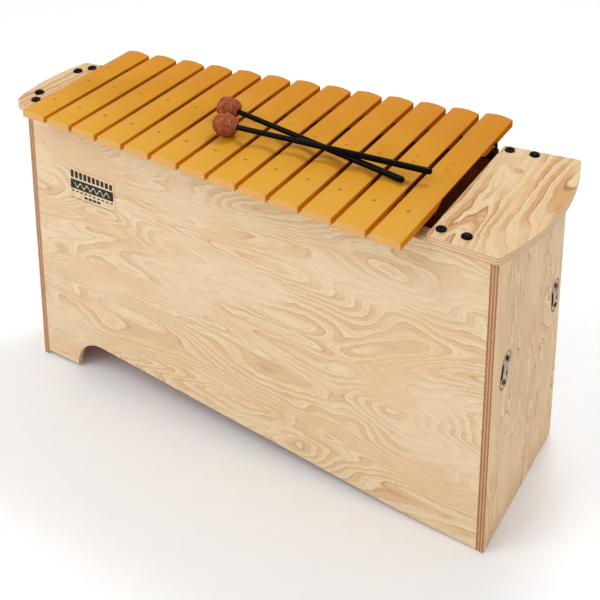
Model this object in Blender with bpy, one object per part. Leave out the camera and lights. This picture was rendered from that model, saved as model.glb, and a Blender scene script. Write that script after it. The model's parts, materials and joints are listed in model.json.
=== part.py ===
"""Diatonic bass xylophone: 13 bars over a trapezoid resonator box, with two mallets.

Lengths below are in millimetres and every mesh is made in metres, +Z up.
The label side faces -Y, the longest bar is at +X, and the floor is z = 0.
"""

import math

import bmesh
import bpy
from mathutils import Vector

MM = 0.001
GAP = 0.3  # clearance between neighbouring pieces

# Resonator box
PLY = 12.0  # thickness of every board
BOX_HALF_X = 451.5  # outer faces of the side panels
BOX_FRONT_Y = -149.5
BOX_BACK_Y = 150.0  # outer back corner at the long-bar end
SLANT = 0.146  # rise of every back line in y per unit of x
BOX_TOP_Z = 511.8
PANEL_HALF_X = BOX_HALF_X - PLY - GAP
FOOT_RADIUS = 12.0
BACK_PANEL_Z = (8.0, 486.4)
BOTTOM_Z = 75.0
END_WALL_X = 385.8
DIVIDER_X = (-137.4, 94.6)
DIVIDER_TOP_Z = 480.0

# Cut-out along the bottom of the front panel
FOOT_Z = 7.5
FOOT_END_X = -365.5
CUT_START = (-310.0, 66.0)
CUT_END = (309.0, 7.2)
CUT_CORNER_Z = 1.0

# Rails that carry the bars and the handle plates
RAIL_LEFT_X = -462.0
FRONT_RAIL_Y = (-137.2, -115.2)
FRONT_RAIL_Z = 485.0
BACK_RAIL_AT = (352.0, 135.5)
BACK_RAIL_WIDTH = 24.0
BACK_RAIL_Z = BACK_PANEL_Z[1] + GAP

# Bars, counted from the short one at the left
BAR_NOTES = "a g f e d c b a g f e d c".split()
BAR_PITCH = 58.0
BAR_WIDTH = 50.0
BAR_FIRST_X = -392.35
BAR_FIRST_FRONT_Y = -195.22
BAR_FRONT_STEP = -1.69
BAR_FIRST_BACK_Y = 97.66
BAR_BACK_STEP = 9.82
BAR_BOTTOM_Z = 529.6
BAR_SIDE_Z = 542.2
BAR_CROWN = 3.3
BAR_EDGE = 1.2
BAR_END_ROUND = 2.2
ARCH_HALF = 98.0  # half length of the thinned middle of the longest bar
ARCH_DEPTH = (5.0, 9.6)  # shortest bar, longest bar
ARCH_RAMP = 26.0
PIN_HOLE_RADIUS = 3.5

# Pins, pegs and cushions
PIN_Y = -139.0
PIN_RADIUS = 2.25
PIN_TOP_Z = 544.0
PEG_AT = (274.65, 121.0)
PEG_RADIUS = 2.75
PEG_TOP_Z = 539.2
STRIP_Z = (512.1, 515.1)
STRIP_HALF_WIDTH = 9.5
FRONT_STRIP_X = (-426.0, 314.0)
BACK_STRIP_X = (-426.0, 337.5)
STRIP_INSET = 1.0  # how far a cushion stops short of its strip
CUSHION_Z = (515.4, 528.3)
CUSHION_HALF_WIDTH = 8.0

# Handle plates
PLATE_Z = (512.1, 524.8)
RIGHT_PLATE_INNER_X = 338.5
RIGHT_PLATE_FRONT_Y = -154.0
RIGHT_PLATE_BACK = (461.0, 173.0)
RIGHT_PLATE_BOW = (467.0, 25.5, 487.4)  # outer edge: radius, then y and |x| of its furthest point
RIGHT_PLATE_CORNER = 9.0
LEFT_PLATE_INNER_X = -428.0
LEFT_PLATE_FRONT_Y = -154.5
LEFT_PLATE_BACK = (-464.0, 41.0)
LEFT_PLATE_BOW = (400.0, -60.0, 490.5)
LEFT_PLATE_CORNER = 26.0
PLATE_INNER_CORNER = 6.0

# Fasteners, as plan positions
RAIL_BOLTS = {
    "rail_bolt_right_front": (352.0, -129.0),
    "rail_bolt_right_back": (352.0, 142.7),
    "rail_bolt_left_front": (-449.0, -129.0),
    "rail_bolt_left_back": (-450.0, 25.0),
}
PLATE_SCREWS = {
    "plate_screw_right_front": (392.0, -127.0),
    "plate_screw_right_back": (392.6, 149.5),
    "plate_screw_left_front": (-464.0, -104.0),
    "plate_screw_left_back": (-464.5, 1.0),
}
PLUGS = {"plug_front": (389.0, -73.0), "plug_back": (389.0, 88.0)}
BOLT_HEAD = (8.5, 2.4)  # radius, height
BOLT_SHANK_RADIUS = 2.5
BOLT_DEPTH = 26.0
DOME_HEAD = (9.0, 5.0)
DOME_SHANK_RADIUS = 2.0
DOME_DEPTH = (24.0, 12.0)  # right screws reach the box, left ones end in the plate
SOCKET_RADIUS = 3.2  # hex socket in each bolt head
SOCKET_DEPTH = 1.4
PLUG_RADIUS = 8.0
PLUG_HEIGHT = 5.0

# Keyhole hangers let into the right side panel: plan y, height, lean in degrees
HANGERS = {"hanger_front": (-97.5, 299.5, -15.0), "hanger_back": (123.7, 294.7, 4.0)}
HANGER_SIZE = (14.0, 29.5)  # half width, half length
HANGER_THICK = 1.5
HANGER_RISE = 2.5  # how far the strap steps up between its two feet
HANGER_STEP = (10.0, 13.5)  # where the step up ends and begins, from the middle
RECESS_SIZE = (17.5, 31.5)
RECESS_DEPTH = 1.8
POCKET_SIZE = (16.2, 13.6)
POCKET_DEPTH = 9.0
KEYHOLE_RADII = (3.8, 1.9)
HANGER_SCREW_AT = 19.0
HANGER_SCREW_RADII = (4.4, 1.6)
HANGER_SCREW_HEIGHT = 2.6
CROSS_SIZE = (3.2, 0.8)  # half length and half width of each slot of a screw's cross

# Badge on the front panel
BADGE_AT = (-307.4, 395.5)
BADGE_SIZE = (104.0, 61.0, 0.5)

# Mallets: head centre and far end of the shaft
MALLETS = {
    "mallet_lower": ((-87.0, -38.0, 565.3), (263.6, -73.8, 550.9)),
    "mallet_upper": ((-57.0, -90.5, 565.4), (300.0, -51.1, 565.4)),
}
SHAFT_RADII = (4.4, 5.4)  # in the head, at the far end
HEAD_RADIUS = 19.2
HEAD_HALF = 22.5
CORE_RADIUS = 9.0
CORE_HALF = 14.0

WOOD = (0.80, 0.62, 0.38)
PLATE_WOOD = (0.82, 0.63, 0.36)
GOLD = (0.72, 0.36, 0.05)
BLACK = (0.012, 0.012, 0.013)
FELT = (0.10, 0.016, 0.014)
STEEL = (0.55, 0.54, 0.52)
YARN = (0.28, 0.09, 0.045)


def clear_scene():
    for obj in list(bpy.data.objects):
        bpy.data.objects.remove(obj, do_unlink=True)


def surface(name, color, roughness=0.5, metallic=0.0):
    material = bpy.data.materials.new(name + "_surface")
    material.use_nodes = True
    shader = material.node_tree.nodes["Principled BSDF"]
    shader.inputs["Base Color"].default_value = (*color, 1.0)
    shader.inputs["Roughness"].default_value = roughness
    shader.inputs["Metallic"].default_value = metallic
    material.diffuse_color = (*color, 1.0)
    return material


def mesh_object(name, points, faces, origin, look):
    """One closed mesh in metres, with its object origin at the given point."""
    origin = Vector(origin)
    mesh = bpy.data.meshes.new(name)
    mesh.from_pydata([(Vector(p) - origin) * MM for p in points], [], faces)
    shape = bmesh.new()
    shape.from_mesh(mesh)
    bmesh.ops.recalc_face_normals(shape, faces=shape.faces)
    shape.to_mesh(mesh)
    shape.free()
    obj = bpy.data.objects.new(name, mesh)
    obj.location = origin * MM
    bpy.context.scene.collection.objects.link(obj)
    if look:
        mesh.materials.append(surface(name, *look))
    return obj


def ring_faces(count, size):
    """Quads between consecutive rings of points."""
    faces = []
    for row in range(count - 1):
        for i in range(size):
            j = (i + 1) % size
            a = row * size
            faces.append((a + i, a + j, a + size + j, a + size + i))
    return faces


def placed(u, v, w, axis):
    if axis == "x":
        return (w, u, v)
    if axis == "y":
        return (u, w, v)
    return (u, v, w)


def prism(name, outline, low, high, axis, look):
    """An outline extruded from low to high along one axis."""
    size = len(outline)
    points = [placed(u, v, w, axis) for w in (low, high) for u, v in outline]
    faces = ring_faces(2, size)
    faces += [tuple(range(size)), tuple(range(size, 2 * size))]
    return mesh_object(name, points, faces, points[0], look)


def rounded(corners, steps=5):
    """An outline whose corners (u, v, radius) are rounded where the radius isn't 0."""
    outline = []
    for i, (u, v, radius) in enumerate(corners):
        here = Vector((u, v))
        if radius == 0:
            outline.append(here)
            continue
        back = (Vector(corners[i - 1][:2]) - here).normalized()
        ahead = (Vector(corners[(i + 1) % len(corners)][:2]) - here).normalized()
        half = back.angle(ahead) / 2
        centre = here + (back + ahead).normalized() * radius / math.sin(half)
        reach = radius / math.tan(half)
        first = here + back * reach - centre
        last = here + ahead * reach - centre
        turn = first.angle_signed(last)
        for k in range(steps + 1):
            angle = -turn * k / steps
            c, s = math.cos(angle), math.sin(angle)
            outline.append(centre + Vector((first.x * c - first.y * s, first.x * s + first.y * c)))
    return [tuple(p) for p in outline]


def revolved(name, profile, start, direction, look, segments=16):
    """A profile of (distance along the direction, radius) turned about it."""
    axis = Vector(direction).normalized()
    side = axis.orthogonal().normalized()
    other = axis.cross(side)
    start = Vector(start)
    points = []
    rings = []
    for along, radius in profile:
        first = len(points)
        count = segments if radius else 1
        for i in range(count):
            turn = 2 * math.pi * i / segments
            offset = (side * math.cos(turn) + other * math.sin(turn)) * radius
            points.append(start + axis * along + offset)
        rings.append([first + i % count for i in range(segments)])
    faces = []
    for low, high in zip(rings, rings[1:]):
        for i in range(segments):
            j = (i + 1) % segments
            corners = (low[i], low[j], high[j], high[i])
            faces.append(tuple(dict.fromkeys(corners)))
    return mesh_object(name, points, faces, start, look)


def rods(name, ends, radius, segments=16):
    """Several separate round rods in one mesh, for cutting holes or joining pins."""
    points = []
    faces = []
    for start, end in ends:
        first = len(points)
        axis = (Vector(end) - Vector(start)).normalized()
        side = axis.orthogonal().normalized()
        other = axis.cross(side)
        for centre in (start, end):
            for i in range(segments):
                turn = 2 * math.pi * i / segments
                offset = (side * math.cos(turn) + other * math.sin(turn)) * radius
                points.append(Vector(centre) + offset)
        faces += [tuple(first + i for i in face) for face in ring_faces(2, segments)]
        faces.append(tuple(range(first, first + segments)))
        faces.append(tuple(range(first + segments, first + 2 * segments)))
    return mesh_object(name, points, faces, (0, 0, 0), None)


def combine(target, tool, operation="DIFFERENCE"):
    tool.hide_render = True
    tool.display_type = "WIRE"
    modifier = target.modifiers.new(tool.name, "BOOLEAN")
    modifier.operation = operation
    modifier.solver = "EXACT"
    modifier.object = tool


def holes(target, spots, radius, low, high, label="holes"):
    """Vertical round holes through a target at plan positions."""
    ends = [((x, y, low), (x, y, high)) for x, y in spots]
    combine(target, rods(f"{target.name}_{label}", ends, radius))


def back_line(x, through):
    return through[1] + SLANT * (x - through[0])


def slanted_band(x_range, through, half_width):
    """Plan outline of a band along a back line, its ends square to x."""
    reach = half_width * math.hypot(1, SLANT)
    left, right = x_range
    return [
        (left, back_line(left, through) - reach),
        (right, back_line(right, through) - reach),
        (right, back_line(right, through) + reach),
        (left, back_line(left, through) + reach),
    ]


def back_outer_y(x):
    return back_line(x, (BOX_HALF_X, BOX_BACK_Y))


def back_inner_y(x):
    return back_outer_y(x) - PLY * math.hypot(1, SLANT)


def rectangle(u_range, v_range):
    (u0, u1), (v0, v1) = u_range, v_range
    return [(u0, v0), (u1, v0), (u1, v1), (u0, v1)]


def across_box(x_range):
    """Plan outline from the front panel to the back panel between two x positions."""
    left, right = x_range
    front = BOX_FRONT_Y + PLY + GAP
    return [
        (left, front),
        (right, front),
        (right, back_inner_y(right) - GAP),
        (left, back_inner_y(left) - GAP),
    ]


def front_panel():
    reach_x = CUT_START[0] - FOOT_END_X
    reach_z = CUT_START[1] - FOOT_Z
    outline = [(-PANEL_HALF_X, FOOT_Z)]
    steps = 8
    for k in range(steps + 1):
        turn = math.pi / 2 * k / steps
        x = CUT_START[0] - reach_x * math.cos(turn)
        outline.append((x, FOOT_Z + reach_z * math.sin(turn)))
    outline.append(CUT_END)
    outline.append((PANEL_HALF_X, CUT_CORNER_Z))
    outline.append((PANEL_HALF_X, BOX_TOP_Z))
    outline.append((-PANEL_HALF_X, BOX_TOP_Z))
    prism("front_panel", outline, BOX_FRONT_Y, BOX_FRONT_Y + PLY, "y", (WOOD, 0.6))


def side_panels():
    right = [
        (BOX_FRONT_Y, 0, 0),
        (BOX_BACK_Y, 0, FOOT_RADIUS),
        (BOX_BACK_Y, BOX_TOP_Z, 0),
        (BOX_FRONT_Y, BOX_TOP_Z, 0),
    ]
    inner = BOX_HALF_X - PLY
    panel = prism("right_side_panel", rounded(right), inner, BOX_HALF_X, "x", (WOOD, 0.6))
    for name, (y, z, lean) in HANGERS.items():
        hanger(panel, name, y, z, lean)
    back = back_outer_y(-BOX_HALF_X)
    rail = back_line(-BOX_HALF_X, BACK_RAIL_AT) - BACK_RAIL_WIDTH / 2 * math.hypot(1, SLANT)
    left = [
        (BOX_FRONT_Y, 0, 0),
        (back, 0, FOOT_RADIUS),
        (back, BACK_PANEL_Z[1], 0),
        (rail - GAP, BACK_PANEL_Z[1], 0),
        (rail - GAP, BOX_TOP_Z, 0),
        (FRONT_RAIL_Y[1] + GAP, BOX_TOP_Z, 0),
        (FRONT_RAIL_Y[1] + GAP, FRONT_RAIL_Z - GAP, 0),
        (FRONT_RAIL_Y[0] - GAP, FRONT_RAIL_Z - GAP, 0),
        (FRONT_RAIL_Y[0] - GAP, BOX_TOP_Z, 0),
        (BOX_FRONT_Y, BOX_TOP_Z, 0),
    ]
    prism("left_side_panel", rounded(left), -BOX_HALF_X, -inner, "x", (WOOD, 0.6))


def leaned(u, v, y, z, lean):
    """Plan of a hanger: local (u, v) turned by the lean about its centre."""
    turn = math.radians(lean)
    c, s = math.cos(turn), math.sin(turn)
    return (y + u * c - v * s, z + u * s + v * c)


def pill(half_width, half_length, steps=8):
    """Outline of a slot with round ends, long way along v."""
    outline = []
    straight = half_length - half_width
    for sign in (-1, 1):
        for k in range(steps + 1):
            turn = math.pi * k / steps
            u = -sign * half_width * math.cos(turn)
            outline.append((u, sign * (straight + half_width * math.sin(turn))))
    return outline


def keyhole(steps=12):
    """Outline of a round hole with a narrow slot running up from it."""
    wide, narrow = KEYHOLE_RADII
    start = math.asin(narrow / wide)
    outline = []
    for k in range(steps + 1):
        turn = start + (2 * math.pi - 2 * start) * k / steps
        outline.append((wide * math.sin(turn), wide * math.cos(turn) - 3.4))
    for k in range(5):
        turn = math.pi - math.pi * k / 4
        outline.append((narrow * math.cos(turn), 5.4 + narrow * math.sin(turn)))
    return outline


def strap_profile():
    """Side view of a hanger's strap as (along, height): two feet and a raised middle."""
    inner, outer = HANGER_STEP
    end = HANGER_SIZE[1]
    under = [(-end, 0), (-outer, 0), (-inner, HANGER_RISE), (inner, HANGER_RISE), (outer, 0), (end, 0)]
    over = [(v, height + HANGER_THICK) for v, height in reversed(under)]
    return under + over


def hanger(panel, name, y, z, lean):
    """A keyhole strap in its recess, with a pocket behind the keyhole and two screws."""
    def turned(outline):
        return [leaned(u, v, y, z, lean) for u, v in outline]

    floor = BOX_HALF_X - RECESS_DEPTH
    recess = prism(name + "_recess", turned(pill(*RECESS_SIZE)), floor, BOX_HALF_X + 5, "x", None)
    half_width, half_length = POCKET_SIZE
    corners = rectangle((-half_width, half_width), (-half_length, half_length))
    outline = turned(rounded([(u, v, 4) for u, v in corners]))
    depth = BOX_HALF_X - POCKET_DEPTH
    pocket = prism(name + "_pocket", outline, depth, BOX_HALF_X + 6, "x", None)
    combine(panel, recess)
    combine(panel, pocket)
    profile = strap_profile()
    seat = floor + GAP
    width = HANGER_SIZE[0] + 2
    points = []
    for u in (-width, width):
        points += [(seat + height, *leaned(u, v, y, z, lean)) for v, height in profile]
    size = len(profile)
    faces = ring_faces(2, size)
    faces += [tuple(range(size)), tuple(range(size, 2 * size))]
    strap = mesh_object(name, points, faces, points[0], (STEEL, 0.35, 1.0))
    top = seat + HANGER_RISE + HANGER_THICK
    ends = prism(name + "_ends", turned(pill(*HANGER_SIZE)), floor - 2, top + 2, "x", None)
    combine(strap, ends, "INTERSECT")
    slot = prism(name + "_keyhole", turned(keyhole()), floor - 3, top + 3, "x", None)
    combine(strap, slot)
    head, shank = HANGER_SCREW_RADII
    spots = []
    for label, side in (("upper", 1), ("lower", -1)):
        at_y, at_z = leaned(0, side * HANGER_SCREW_AT, y, z, lean)
        spots.append(((floor - 7, at_y, at_z), (BOX_HALF_X + 6, at_y, at_z)))
        hanger_screw(f"{name}_screw_{label}", seat + HANGER_THICK + GAP, at_y, at_z, lean)
    combine(panel, rods(name + "_panel_holes", spots, shank + GAP, 12))
    combine(strap, rods(name + "_strap_holes", spots, shank + GAP, 12))


def hanger_screw(name, seat, y, z, lean):
    """A round-headed screw with a cross slot, its head on the seat."""
    head, shank = HANGER_SCREW_RADII
    profile = [(-8, 0), (-8, shank), (0, shank), (0, head), (0.8, head)]
    steps = 4
    for k in range(1, steps + 1):
        turn = math.pi / 2 * k / steps
        radius = head * math.cos(turn) if k < steps else 0
        profile.append((0.8 + (HANGER_SCREW_HEIGHT - 0.8) * math.sin(turn), radius))
    screw = revolved(name, profile, (seat, y, z), (1, 0, 0), (STEEL, 0.35, 1.0), 16)
    long, narrow = CROSS_SIZE
    for label, u, v in (("across", long, narrow), ("along", narrow, long)):
        outline = [leaned(a, b, y, z, lean + 20) for a, b in rectangle((-u, u), (-v, v))]
        bottom = seat + HANGER_SCREW_HEIGHT - 1.6
        combine(screw, prism(f"{name}_{label}", outline, bottom, seat + 6, "x", None))


def box_boards():
    plan = [
        (-PANEL_HALF_X, back_inner_y(-PANEL_HALF_X)),
        (PANEL_HALF_X, back_inner_y(PANEL_HALF_X)),
        (PANEL_HALF_X, back_outer_y(PANEL_HALF_X)),
        (-PANEL_HALF_X, back_outer_y(-PANEL_HALF_X)),
    ]
    prism("back_panel", plan, *BACK_PANEL_Z, "z", (WOOD, 0.6))
    plan = across_box((-PANEL_HALF_X, PANEL_HALF_X))
    prism("bottom_board", plan, BOTTOM_Z, BOTTOM_Z + PLY, "z", (WOOD, 0.7))
    floor = BOTTOM_Z + PLY + GAP
    plan = across_box((END_WALL_X, END_WALL_X + PLY))
    wall = prism("inner_end_wall", plan, floor, BOX_TOP_Z, "z", (WOOD, 0.7))
    spots = [PLATE_SCREWS["plate_screw_right_front"]]
    holes(wall, spots, DOME_SHANK_RADIUS + GAP, BOX_TOP_Z - DOME_DEPTH[0], BOX_TOP_Z + 5)
    for i, x in enumerate(DIVIDER_X):
        plan = across_box((x - PLY / 2, x + PLY / 2))
        prism(f"chamber_divider_{i + 1}", plan, floor, DIVIDER_TOP_Z, "z", (WOOD, 0.7))


def rails():
    low, high = BOX_TOP_Z - BOLT_DEPTH, BOX_TOP_Z + 5
    plan = rectangle((RAIL_LEFT_X, END_WALL_X - GAP), FRONT_RAIL_Y)
    rail = prism("front_rail", plan, FRONT_RAIL_Z, BOX_TOP_Z, "z", (WOOD, 0.7))
    spots = [RAIL_BOLTS["rail_bolt_right_front"], RAIL_BOLTS["rail_bolt_left_front"]]
    holes(rail, spots, BOLT_SHANK_RADIUS + GAP, low, high)
    plan = slanted_band((RAIL_LEFT_X, PANEL_HALF_X), BACK_RAIL_AT, BACK_RAIL_WIDTH / 2)
    rail = prism("back_rail", plan, BACK_RAIL_Z, BOX_TOP_Z, "z", (WOOD, 0.7))
    spots = [RAIL_BOLTS["rail_bolt_right_back"], RAIL_BOLTS["rail_bolt_left_back"]]
    holes(rail, spots, BOLT_SHANK_RADIUS + GAP, BACK_RAIL_Z - 5, high)
    spots = [PLATE_SCREWS["plate_screw_right_back"]]
    holes(rail, spots, DOME_SHANK_RADIUS + GAP, BACK_RAIL_Z - 5, high, "screw_hole")


def bar_x(index):
    return BAR_FIRST_X + BAR_PITCH * index


def pin_spots():
    return [(bar_x(i), PIN_Y) for i in range(len(BAR_NOTES))]


def peg_spots():
    """One peg in every gap between bars and one outside each end bar."""
    xs = [bar_x(i) - BAR_PITCH / 2 for i in range(len(BAR_NOTES) + 1)]
    return [(x, back_line(x, PEG_AT)) for x in xs]


def posts(strip, spots, radius, top):
    ends = [((x, y, STRIP_Z[0] + 1), (x, y, top)) for x, y in spots]
    combine(strip, rods(strip.name + "_posts", ends, radius, 12), "UNION")


def bar_supports():
    plan = rectangle(FRONT_STRIP_X, (PIN_Y - STRIP_HALF_WIDTH, PIN_Y + STRIP_HALF_WIDTH))
    strip = prism("front_pin_strip", plan, *STRIP_Z, "z", (BLACK, 0.4))
    posts(strip, pin_spots(), PIN_RADIUS, PIN_TOP_Z)
    plan = slanted_band(BACK_STRIP_X, PEG_AT, STRIP_HALF_WIDTH)
    strip = prism("back_peg_strip", plan, *STRIP_Z, "z", (BLACK, 0.4))
    posts(strip, peg_spots(), PEG_RADIUS, PEG_TOP_Z)
    low, high = CUSHION_Z[0] - 2, CUSHION_Z[1] + 2
    x_range = (FRONT_STRIP_X[0] + STRIP_INSET, FRONT_STRIP_X[1] - STRIP_INSET)
    plan = rectangle(x_range, (PIN_Y - CUSHION_HALF_WIDTH, PIN_Y + CUSHION_HALF_WIDTH))
    cushion = prism("front_cushion", plan, *CUSHION_Z, "z", (FELT, 0.9))
    holes(cushion, pin_spots(), PIN_RADIUS + 0.75, low, high)
    x_range = (BACK_STRIP_X[0] + STRIP_INSET, BACK_STRIP_X[1] - STRIP_INSET)
    plan = slanted_band(x_range, PEG_AT, CUSHION_HALF_WIDTH)
    cushion = prism("back_cushion", plan, *CUSHION_Z, "z", (FELT, 0.9))
    holes(cushion, peg_spots(), PEG_RADIUS + 0.75, low, high)


def bar_section(x, underside, inset, drop):
    """Cross-section of a bar: flat underside, straight sides and a crowned top."""
    half = BAR_WIDTH / 2 - inset
    section = [(x - half, underside), (x + half, underside)]
    rim = half - BAR_EDGE
    for share in (1, 0.8, 0.5, 0, -0.5, -0.8, -1):
        if share == 1:
            section.append((x + half, BAR_SIDE_Z - BAR_EDGE - drop))
        crown = BAR_CROWN * (1 - share * share)
        section.append((x + share * rim, BAR_SIDE_Z + crown - drop))
        if share == -1:
            section.append((x - half, BAR_SIDE_Z - BAR_EDGE - drop))
    return section


def bar(index):
    """One bar, thinned underneath along its middle and drilled for its pin."""
    x = bar_x(index)
    front = BAR_FIRST_FRONT_Y + BAR_FRONT_STEP * index
    back = BAR_FIRST_BACK_Y + BAR_BACK_STEP * index
    longest = BAR_FIRST_BACK_Y - BAR_FIRST_FRONT_Y
    longest += (BAR_BACK_STEP - BAR_FRONT_STEP) * (len(BAR_NOTES) - 1)
    middle = (front + back) / 2
    arch = ARCH_HALF * (back - front) / longest
    share = index / (len(BAR_NOTES) - 1)
    depth = ARCH_DEPTH[0] + (ARCH_DEPTH[1] - ARCH_DEPTH[0]) * share
    stations = [(front, BAR_BOTTOM_Z + 1.2, BAR_END_ROUND, BAR_END_ROUND)]
    stations.append((front + 0.7, BAR_BOTTOM_Z + 0.4, 0.8, 0.8))
    stations.append((front + BAR_END_ROUND, BAR_BOTTOM_Z, 0, 0))
    steps = 4
    for side in (-1, 1):
        for k in range(steps + 1):
            part = k / steps if side < 0 else 1 - k / steps
            rise = (1 - math.cos(math.pi * part)) / 2
            y = middle + side * (arch - ARCH_RAMP * part)
            stations.append((y, BAR_BOTTOM_Z + depth * rise, 0, 0))
    stations.append((back - BAR_END_ROUND, BAR_BOTTOM_Z, 0, 0))
    stations.append((back - 0.7, BAR_BOTTOM_Z + 0.4, 0.8, 0.8))
    stations.append((back, BAR_BOTTOM_Z + 1.2, BAR_END_ROUND, BAR_END_ROUND))
    points = []
    for y, underside, inset, drop in stations:
        section = bar_section(x, underside, inset, drop)
        points += [(u, y, v) for u, v in section]
    size = len(section)
    faces = ring_faces(len(stations), size)
    faces += [tuple(range(size)), tuple(range(len(points) - size, len(points)))]
    number = len(BAR_NOTES) - index
    name = f"bar_{number:02d}_{BAR_NOTES[index]}"
    obj = mesh_object(name, points, faces, (x, PIN_Y, BAR_BOTTOM_Z), (GOLD, 0.3))
    holes(obj, [(x, PIN_Y)], PIN_HOLE_RADIUS, BAR_BOTTOM_Z - 5, BAR_SIDE_Z + 10)


def bowed_edge(sign, bow, low, high, steps=12):
    """Points of a plate's curved outer edge, from low y to high y."""
    radius, middle, furthest = bow
    ys = [low + (middle - low) * k / (steps // 2) for k in range(steps // 2)]
    ys += [middle + (high - middle) * k / (steps // 2) for k in range(steps // 2 + 1)]
    centre = furthest - radius
    return [(sign * (centre + math.sqrt(radius**2 - (y - middle) ** 2)), y) for y in ys]


def handle_plate(name, sign, inner_x, front_y, back_at, bow, corner, look):
    low = front_y + 5 + corner
    high = back_at[1] - 8
    outer = bowed_edge(sign, bow, low, high)
    front_x = outer[0][0] - sign * (2 + corner / 4)
    corners = [(inner_x, front_y, PLATE_INNER_CORNER), (front_x, front_y, corner)]
    corners += [(u, v, 0) for u, v in outer]
    tip_x = outer[-1][0] - sign * 3
    corners.append((tip_x, back_line(tip_x, back_at), 6))
    corners.append((inner_x, back_line(inner_x, back_at), 4))
    plate = prism(name, rounded(corners), *PLATE_Z, "z", look)
    on_plate = [spot for spot in RAIL_BOLTS.values() if spot[0] * sign > 0]
    low, high = PLATE_Z[0] - 5, PLATE_Z[1] + 5
    holes(plate, on_plate, BOLT_SHANK_RADIUS + GAP, low, high, "bolt_holes")
    on_plate = [spot for spot in PLATE_SCREWS.values() if spot[0] * sign > 0]
    holes(plate, on_plate, DOME_SHANK_RADIUS + GAP, low, high, "screw_holes")
    return plate


def handle_plates():
    right = handle_plate(
        "right_handle_plate",
        1,
        RIGHT_PLATE_INNER_X,
        RIGHT_PLATE_FRONT_Y,
        RIGHT_PLATE_BACK,
        RIGHT_PLATE_BOW,
        RIGHT_PLATE_CORNER,
        (PLATE_WOOD, 0.5),
    )
    bottom = PLATE_Z[1] - PLUG_HEIGHT
    holes(right, PLUGS.values(), PLUG_RADIUS + GAP, bottom - GAP, PLATE_Z[1] + 5, "plug_holes")
    handle_plate(
        "left_handle_plate",
        -1,
        LEFT_PLATE_INNER_X,
        LEFT_PLATE_FRONT_Y,
        LEFT_PLATE_BACK,
        LEFT_PLATE_BOW,
        LEFT_PLATE_CORNER,
        (PLATE_WOOD, 0.5),
    )
    for name, (x, y) in PLUGS.items():
        profile = [(0, 0), (0, PLUG_RADIUS), (PLUG_HEIGHT, PLUG_RADIUS), (PLUG_HEIGHT, 0)]
        revolved(name, profile, (x, y, bottom), (0, 0, 1), (PLATE_WOOD, 0.6), 20)


def fasteners():
    seat = PLATE_Z[1] + GAP
    radius, height = BOLT_HEAD
    for name, (x, y) in RAIL_BOLTS.items():
        profile = [
            (-BOLT_DEPTH, 0),
            (-BOLT_DEPTH, BOLT_SHANK_RADIUS),
            (0, BOLT_SHANK_RADIUS),
            (0, radius),
            (height * 0.7, radius),
            (height, radius - 1),
            (height, 0),
        ]
        bolt = revolved(name, profile, (x, y, seat), (0, 0, 1), (BLACK, 0.35), 20)
        turns = [math.pi / 3 * k for k in range(6)]
        plan = [(x + SOCKET_RADIUS * math.cos(t), y + SOCKET_RADIUS * math.sin(t)) for t in turns]
        bottom = seat + height - SOCKET_DEPTH
        combine(bolt, prism(name + "_socket", plan, bottom, seat + height + 3, "z", None))
    radius, height = DOME_HEAD
    for name, (x, y) in PLATE_SCREWS.items():
        depth = DOME_DEPTH[0] if x > 0 else DOME_DEPTH[1]
        profile = [(-depth, 0), (-depth, DOME_SHANK_RADIUS), (0, DOME_SHANK_RADIUS)]
        steps = 5
        for k in range(steps + 1):
            turn = math.pi / 2 * k / steps
            profile.append((height * math.sin(turn), radius * math.cos(turn) if k < steps else 0))
        revolved(name, profile, (x, y, seat), (0, 0, 1), (BLACK, 0.2), 20)


def badge():
    x, z = BADGE_AT
    width, height, thick = BADGE_SIZE
    corners = [
        (x - width / 2, z - height / 2, 3),
        (x + width / 2, z - height / 2, 3),
        (x + width / 2, z + height / 2, 3),
        (x - width / 2, z + height / 2, 3),
    ]
    face = BOX_FRONT_Y - GAP
    prism("badge", rounded(corners, 3), face - thick, face, "y", ((0.02, 0.016, 0.012), 0.3))


def mallet(name, head, end):
    """A shaft into a core, with a wound head around the core."""
    head = Vector(head)
    along = Vector(end) - head
    length = along.length
    tip = CORE_HALF * 0.6
    near, r = SHAFT_RADII
    profile = [(-tip, 0), (-tip, near)]
    profile += [(length - r, r), (length - r * 0.5, r * 0.87), (length - r * 0.13, r * 0.5)]
    profile.append((length, 0))
    revolved(name + "_shaft", profile, head, along, (BLACK, 0.25), 14)
    bore = near + 0.1 + GAP
    profile = [
        (-CORE_HALF, 0),
        (-CORE_HALF, CORE_RADIUS),
        (CORE_HALF, CORE_RADIUS),
        (CORE_HALF, bore),
        (-tip - GAP, bore),
        (-tip - GAP, 0),
    ]
    revolved(name + "_core", profile, head, along, (BLACK, 0.8), 16)
    profile = []
    steps = 10
    for k in range(steps + 1):
        turn = math.pi * k / steps
        share = abs(math.sin(turn)) ** 0.62
        radius = HEAD_RADIUS * share
        if k == 0:
            radius = 0
        if k == steps:
            radius = bore
        profile.append((-HEAD_HALF * math.cos(turn), radius))
    profile.append((CORE_HALF + GAP, bore))
    profile.append((CORE_HALF + GAP, CORE_RADIUS + GAP))
    profile.append((-CORE_HALF - GAP, CORE_RADIUS + GAP))
    profile.append((-CORE_HALF - GAP, 0))
    revolved(name + "_head", profile, head, along, (YARN, 0.95), 20)


def main():
    clear_scene()
    front_panel()
    side_panels()
    box_boards()
    rails()
    bar_supports()
    for index in range(len(BAR_NOTES)):
        bar(index)
    handle_plates()
    fasteners()
    badge()
    for name, (head, end) in MALLETS.items():
        mallet(name, head, end)


main()
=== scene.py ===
"""Looks for the bass xylophone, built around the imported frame. Metres, +Z up.

The label side faces -Y and the longest bar is at +X. Colours are sRGB values from 0 to 255.
"""

import json
import math

import bmesh
import bpy
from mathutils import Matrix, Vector, noise

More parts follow.
